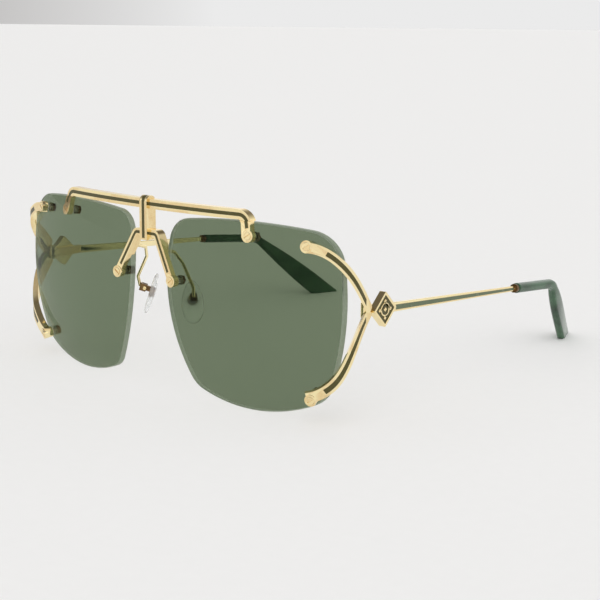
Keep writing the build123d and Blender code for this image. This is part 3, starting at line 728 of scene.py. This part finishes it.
def makeLens(word, side):
    centre = lensCentre()
    samples = lensOutline()
    profile = lensProfile()
    count = len(samples)
    points, faces = [], []
    for inset, depth, share in profile:
        for middle, radius, angle in samples:
            x = middle.x + (radius - inset) * math.cos(angle)
            z = middle.y + (radius - inset) * math.sin(angle)
            x = lensMiddle.x + (x - lensMiddle.x) * share
            z = lensMiddle.z + (z - lensMiddle.z) * share
            points.append(lensPoint(centre, x, z, depth))
    for layer in range(len(profile) - 1):
        faces += bandFaces(layer * count, (layer + 1) * count, count)
    for ring, depth in ((0, 0.0), ((len(profile) - 1) * count, lensCut["thickness"])):
        points.append(lensPoint(centre, lensMiddle.x, lensMiddle.z, depth))
        faces += fanFaces(ring, len(points) - 1, count)
    lens = meshPiece("lensGlass_" + word, points, faces, finishes["lens"], side)
    lens.data.materials.append(groundEdge)
    # the band after each ring of the rim is half polished, but for the first and the last band
    rim = [layer for layer, (inset, depth, share) in enumerate(profile) if share == 1.0]
    for polygon in lens.data.polygons:
        polygon.material_index = 1 if polygon.index // count in rim[1:-2] else 0
    drillHoles(lens, centre, side)
    polishNormals(lens.data, centre, side)
    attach(lens, "front")
    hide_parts("lens_" + word)


for word, side in sides.items():
    makeLens(word, side)
print("lenses ground and drilled")


# temple tips

tipShape = {
    "bend": (-2.5 * mm, 28.1 * mm, -2.8 * mm),  # from the end of the collar
    "drop": (-11.1, 29.4, -24.7),  # the way down from the bend to the ground
    "collarLength": 1.6 * mm,
    "thickness": 2.9 * mm,
    "runWidth": 3.1 * mm,
    "paddleWidth": 8.1 * mm,
    "twist": 30.0,
    "bendRadius": 9.0 * mm,
    "edgeRadius": 1.15 * mm,
    "footRound": 0.5 * mm,
    "growth": 2.2,  # how early in the drop the width grows
    "turning": 2.05,  # how early the twist comes on
    "runSteps": 26,
    "bendSteps": 14,
    "dropSteps": 44,
    "footSteps": 5,
    "cornerSteps": 7,
    "flatSteps": 4,
    "farthest": 1.5,  # of the drop, which is past the ground for every point of the section
    "halvings": 18,
    "boreRadius": 0.52 * mm,
    "boreShort": 8.98 * mm,
}


def tipRoute():
    # the left tip's directions, the turn of its bend, and the points where its stretches meet
    run = Vector(tipShape["bend"]).normalized()
    drop = Vector(tipShape["drop"]).normalized()
    low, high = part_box("tip_collar_left")
    start = (low + high) / 2 + run * tipShape["collarLength"] / 2
    corner = start + Vector(tipShape["bend"])
    turn = run.angle(drop)
    cut = tipShape["bendRadius"] * math.tan(turn / 2)
    return {
        "run": run,
        "drop": drop,
        "normal": run.cross(drop).normalized(),
        "turn": turn,
        "start": start,
        "bendStart": corner - run * cut,
        "bendEnd": corner + drop * cut,
        "foot": corner + drop * ((cadLow.z - corner.z) / drop.z),
    }


def tipLine(route):
    # points and directions along the middle, from the collar to the end of the bend
    run, normal = route["run"], route["normal"]
    line = []
    for step in range(tipShape["runSteps"] + 1):
        point = route["start"].lerp(route["bendStart"], step / tipShape["runSteps"])
        line.append((point, run))
    centre = route["bendStart"] + normal.cross(run) * tipShape["bendRadius"]
    for step in range(1, tipShape["bendSteps"] + 1):
        turn = Matrix.Rotation(route["turn"] * step / tipShape["bendSteps"], 3, normal)
        way = turn @ run
        line.append((centre - normal.cross(way) * tipShape["bendRadius"], way))
    return line


def tipSection():
    # a rounded oblong as (quarter, x, y, share): x and y lie on a corner's unit circle,
    # and a share above 0 lies that far along the flat that follows the corner
    steps, flat = tipShape["cornerSteps"], tipShape["flatSteps"]
    shape = []
    for quarter in range(4):
        for step in range(steps + 1):
            angle = math.pi / 2 * (quarter + step / steps)
            shape.append((quarter, math.cos(angle), math.sin(angle), 0.0))
        for step in range(1, flat):
            shape.append((quarter, 0.0, 0.0, step / flat))
    return shape


def sectionPoints(centre, direction, normal, width, twist):
    halfThick, halfWide, radius = tipShape["thickness"] / 2, width / 2, tipShape["edgeRadius"]
    side = direction.cross(normal)
    thick = normal * math.cos(twist) - side * math.sin(twist)
    wide = normal * math.sin(twist) + side * math.cos(twist)
    signs = ((1, 1), (-1, 1), (-1, -1), (1, -1))

    def corner(quarter, x, y):
        signX, signY = signs[quarter % 4]
        return (signX * (halfThick - radius) + radius * x, signY * (halfWide - radius) + radius * y)

    ring = []
    for quarter, x, y, share in tipSection():
        if share:
            angle = math.pi / 2 * (quarter + 1)
            first = corner(quarter, math.cos(angle), math.sin(angle))
            second = corner(quarter + 1, math.cos(angle), math.sin(angle))
            a, b = [first[i] + (second[i] - first[i]) * share for i in (0, 1)]
        else:
            a, b = corner(quarter, x, y)
        ring.append(centre + thick * a + wide * b)
    return ring


def dropRing(route, share):
    # the paddle's section at a share of the way from the bend to the ground point
    held = min(share, 1.0)
    grown = 1 - (1 - held) ** tipShape["growth"]
    turned = 1 - (1 - held) ** tipShape["turning"]
    width = tipShape["runWidth"] + (tipShape["paddleWidth"] - tipShape["runWidth"]) * grown
    twist = math.radians(tipShape["twist"]) * turned
    centre = route["bendEnd"] + (route["foot"] - route["bendEnd"]) * share
    return sectionPoints(centre, route["drop"], route["normal"], width, twist)


def groundShare(route, index):
    # how far down the drop this point of the section meets the level where the foot starts to round
    level = cadLow.z + tipShape["footRound"]
    near, far = 0.0, tipShape["farthest"]
    for halving in range(tipShape["halvings"]):
        middle = (near + far) / 2
        if dropRing(route, middle)[index].z > level:
            near = middle
        else:
            far = middle
    return near


def footRings(route, last):
    # the cut end rolls over from the last ring to the ground
    middle = sum(last, Vector()) / len(last)
    down = route["drop"] / abs(route["drop"].z) * tipShape["footRound"]
    rings = []
    for step in range(1, tipShape["footSteps"] + 1):
        turn = math.pi / 2 * step / tipShape["footSteps"]
        ring = []
        for point in last:
            inward = Vector((middle.x - point.x, middle.y - point.y, 0)).normalized()
            rolled = inward * tipShape["footRound"] * (1 - math.cos(turn))
            ring.append(point + down * math.sin(turn) + rolled)
        rings.append(ring)
    return rings


def tipRings(route, line):
    width = tipShape["runWidth"]
    rings = [sectionPoints(point, way, route["normal"], width, 0.0) for point, way in line]
    ends = [groundShare(route, index) for index in range(len(rings[0]))]
    for step in range(1, tipShape["dropSteps"] + 1):
        share = step / tipShape["dropSteps"]
        rings.append([dropRing(route, end * share)[index] for index, end in enumerate(ends)])
    return rings + footRings(route, rings[-1])


def boreLine(route, line):
    # the wire core follows the middle of the tip and stops short of the ground
    stop = (route["foot"] - route["bendEnd"]).length - tipShape["boreShort"]
    return line + [(route["bendEnd"] + route["drop"] * stop, route["drop"])]


def boreRing(point, way, normal, count):
    aside = way.cross(normal)
    ring = []
    for index in range(count):
        angle = 2 * math.pi * (index / count)
        reach = normal * math.cos(angle) + aside * math.sin(angle)
        ring.append(point + reach * tipShape["boreRadius"])
    return ring


def makeTip(word, side, rings, bore, normal):
    count = len(rings[0])
    points = [point for ring in rings for point in ring]
    faces = []
    for layer in range(len(rings) - 1):
        faces += bandFaces(layer * count, (layer + 1) * count, count)
    points.append(sum(rings[-1], Vector()) / count)
    faces += fanFaces((len(rings) - 1) * count, len(points) - 1, count)
    mouth = len(points)
    for point, way in bore:
        points += boreRing(point, way, normal, count)
    for layer in range(len(bore) - 1):
        faces += bandFaces(mouth + layer * count, mouth + (layer + 1) * count, count)
    points.append(bore[-1][0])
    faces += fanFaces(mouth + (len(bore) - 1) * count, len(points) - 1, count)
    faces += bandFaces(0, mouth, count)
    tip = meshPiece("tipPaddle_" + word, points, faces, finishes["acetate"], side)
    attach(tip, word + "_temple")
    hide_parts("temple_tip_" + word)


route = tipRoute()
line = tipLine(route)
rings = tipRings(route, line)
bore = boreLine(route, line)
for word, side in sides.items():
    makeTip(word, side, rings, bore, route["normal"])
print("temple tips shaped")


# nose pads

padShape = {
    "normal": (-0.745, 0.596, -0.298),
    "length": 13.6 * mm,
    "width": 7.4 * mm,
    "front": 1.05 * mm,
    "back": 0.85 * mm,
    "stand": 2.6 * mm,
    "drop": 1.2 * mm,
    "egg": 0.15,
    "fullness": 2.7,
    "bow": 0.25 * mm,
    "around": 64,
    "rings": 16,
}


def makePad(word, side):
    # a soft drop-shaped pillow: fuller below, domed towards the nose, with a rolled rim
    normal = Vector(padShape["normal"]).normalized()
    across = Vector((0, 0, 1)).cross(normal).normalized()
    upward = normal.cross(across)
    centre = padPivot + normal * padShape["stand"] - upward * padShape["drop"]
    power, egg, around = padShape["fullness"], padShape["egg"], padShape["around"]
    turns = [math.pi * step / (2 * padShape["rings"]) for step in range(1, 2 * padShape["rings"])]
    points, faces = [], []
    for turn in turns:
        share = math.sin(turn)
        rise = (1 - share**power) ** (1 / power) if share < 1 else 0.0
        height = rise * padShape["front"] if turn < math.pi / 2 else -rise * padShape["back"]
        for index in range(around):
            angle = 2 * math.pi * index / around
            high = math.cos(angle) * share
            wide = math.sin(angle) * share * (1 - egg * math.cos(angle)) / (1 + egg / 2)
            lift = height - padShape["bow"] * high**2 * rise
            spot = centre + upward * high * padShape["length"] / 2 + across * wide * padShape["width"] / 2
            points.append(spot + normal * lift)
    for layer in range(len(turns) - 1):
        faces += bandFaces(layer * around, (layer + 1) * around, around)
    for ring, height in ((0, padShape["front"]), ((len(turns) - 1) * around, -padShape["back"])):
        points.append(centre + normal * height)
        faces += fanFaces(ring, len(points) - 1, around)
    pad = meshPiece("softPad_" + word, points, faces, finishes["silicone"], side)
    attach(pad, word + "_pad")
    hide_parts("nose_pad_" + word)


for word, side in sides.items():
    makePad(word, side)
print("nose pads moulded")


# floor, light and camera

floorLook = {
    "size": 120.0,
    "tone": 0.86,
    "speckle": 0.02,
    "grain": {"Scale": 260.0, "Detail": 4.0},
    "bump": 0.02,
    "bumpDepth": 0.1 * mm,
    "matt": {"Roughness": 0.9, "Specular_IOR_Level": 0.1},
}


def makeFloor():
    mesh = bpy.data.meshes.new("floor")
    half = floorLook["size"] / 2
    corners = [(-half, -half, 0), (half, -half, 0), (half, half, 0), (-half, half, 0)]
    mesh.from_pydata(corners, [], [(0, 1, 2, 3)])
    floor = bpy.data.objects.new("floor", mesh)
    scene.collection.objects.link(floor)
    floor.location.z = cadLow.z
    material, tree, shader = startMaterial("paleBoard")
    coords = addNode(tree, "ShaderNodeTexCoord", (-900, 0))
    noise = addNode(tree, "ShaderNodeTexNoise", (-700, 0))
    setInputs(noise, **floorLook["grain"])
    tree.links.new(coords.outputs["Object"], noise.inputs["Vector"])
    tone = (floorLook["tone"],) * 3
    pale = (floorLook["tone"] + floorLook["speckle"],) * 3
    colour = mixColour(tree, noise.outputs["Fac"], tone, pale, (-400, 100))
    tree.links.new(colour, shader.inputs["Base Color"])
    addBump(tree, shader, noise.outputs["Fac"], floorLook["bump"], floorLook["bumpDepth"])
    setInputs(shader, **floorLook["matt"])
    mesh.materials.append(material)


studio = {
    "horizon": (0.83, 0.83, 0.83),
    "glow": (1.12, 1.12, 1.11),
    "roof": (0.14, 0.13, 0.12),
    "flag": (0.20, 0.18, 0.17),  # a dark panel on the far side, which draws lines along the metal
    "glowRange": (0.06, 0.20),  # heights between which one colour turns into the next
    "roofRange": (0.32, 0.72),
    "flagRange": (-0.70, -0.95),  # towards -X
    "strength": 1.0,
}


def makeWorld():
    world = bpy.data.worlds.new("studio")
    scene.world = world
    world.use_nodes = True
    tree = world.node_tree
    background = tree.nodes["Background"]
    coords = addNode(tree, "ShaderNodeTexCoord", (-900, 0))
    split = addNode(tree, "ShaderNodeSeparateXYZ", (-700, 0))
    tree.links.new(coords.outputs["Generated"], split.inputs[0])
    lift = rangeNode(tree, split.outputs["Z"], *studio["glowRange"], 0.0, 1.0, (-500, 200))
    rise = rangeNode(tree, split.outputs["Z"], *studio["roofRange"], 0.0, 1.0, (-500, -200))
    aside = rangeNode(tree, split.outputs["X"], *studio["flagRange"], 0.0, 1.0, (-500, -400))
    low = mixColour(tree, lift, studio["horizon"], studio["glow"], (-250, 200))
    above = mixColour(tree, rise, low, studio["roof"], (0, 0))
    colour = mixColour(tree, aside, above, studio["flag"], (200, 0))
    tree.links.new(colour, background.inputs["Color"])
    setInputs(background, Strength=studio["strength"])


suns = {
    "overheadSoftbox": {"direction": (-0.10, 0.05, -1.0), "spread": 120.0, "strength": 1.64},
    "sideSoftbox": {"direction": (-0.80, 0.75, -0.75), "spread": 70.0, "strength": 0.5},
}


def addSun(name, direction, spread, strength):
    # a very wide sun lights the whole floor evenly, as a large overhead softbox does
    light = bpy.data.lights.new(name, "SUN")
    light.angle = math.radians(spread)
    light.energy = strength
    lamp = bpy.data.objects.new(name, light)
    lamp.rotation_mode = "QUATERNION"
    lamp.rotation_quaternion = Vector(direction).to_track_quat("-Z", "Y")
    lamp.visible_glossy = False
    scene.collection.objects.link(lamp)


cameraLook = {
    "place": (0.294267, -0.267876, 0.113599),  # y is measured from the front-most point of the pair
    "aim": (0.007425, 0.066066, 0.020300),
    "lens": 78.15,
    "sensor": 36.0,
    "roll": 0.592,
    "nearest": 0.01,
    "farthest": 50.0,
}


def makeCamera():
    data = bpy.data.cameras.new("camera")
    data.lens = cameraLook["lens"]
    data.sensor_width = cameraLook["sensor"]
    data.clip_start = cameraLook["nearest"]
    data.clip_end = cameraLook["farthest"]
    camera = bpy.data.objects.new("camera", data)
    front = Vector((0, cadLow.y, 0))
    place = front + Vector(cameraLook["place"])
    ahead = front + Vector(cameraLook["aim"]) - place
    level = ahead.to_track_quat("-Z", "Y").to_matrix().to_4x4()
    roll = Matrix.Rotation(math.radians(cameraLook["roll"]), 4, "Z")
    camera.matrix_world = Matrix.Translation(place) @ level @ roll
    scene.collection.objects.link(camera)
    scene.camera = camera


makeFloor()
makeWorld()
for name, look in suns.items():
    addSun(name, **look)
makeCamera()
print("floor, light and camera ready")
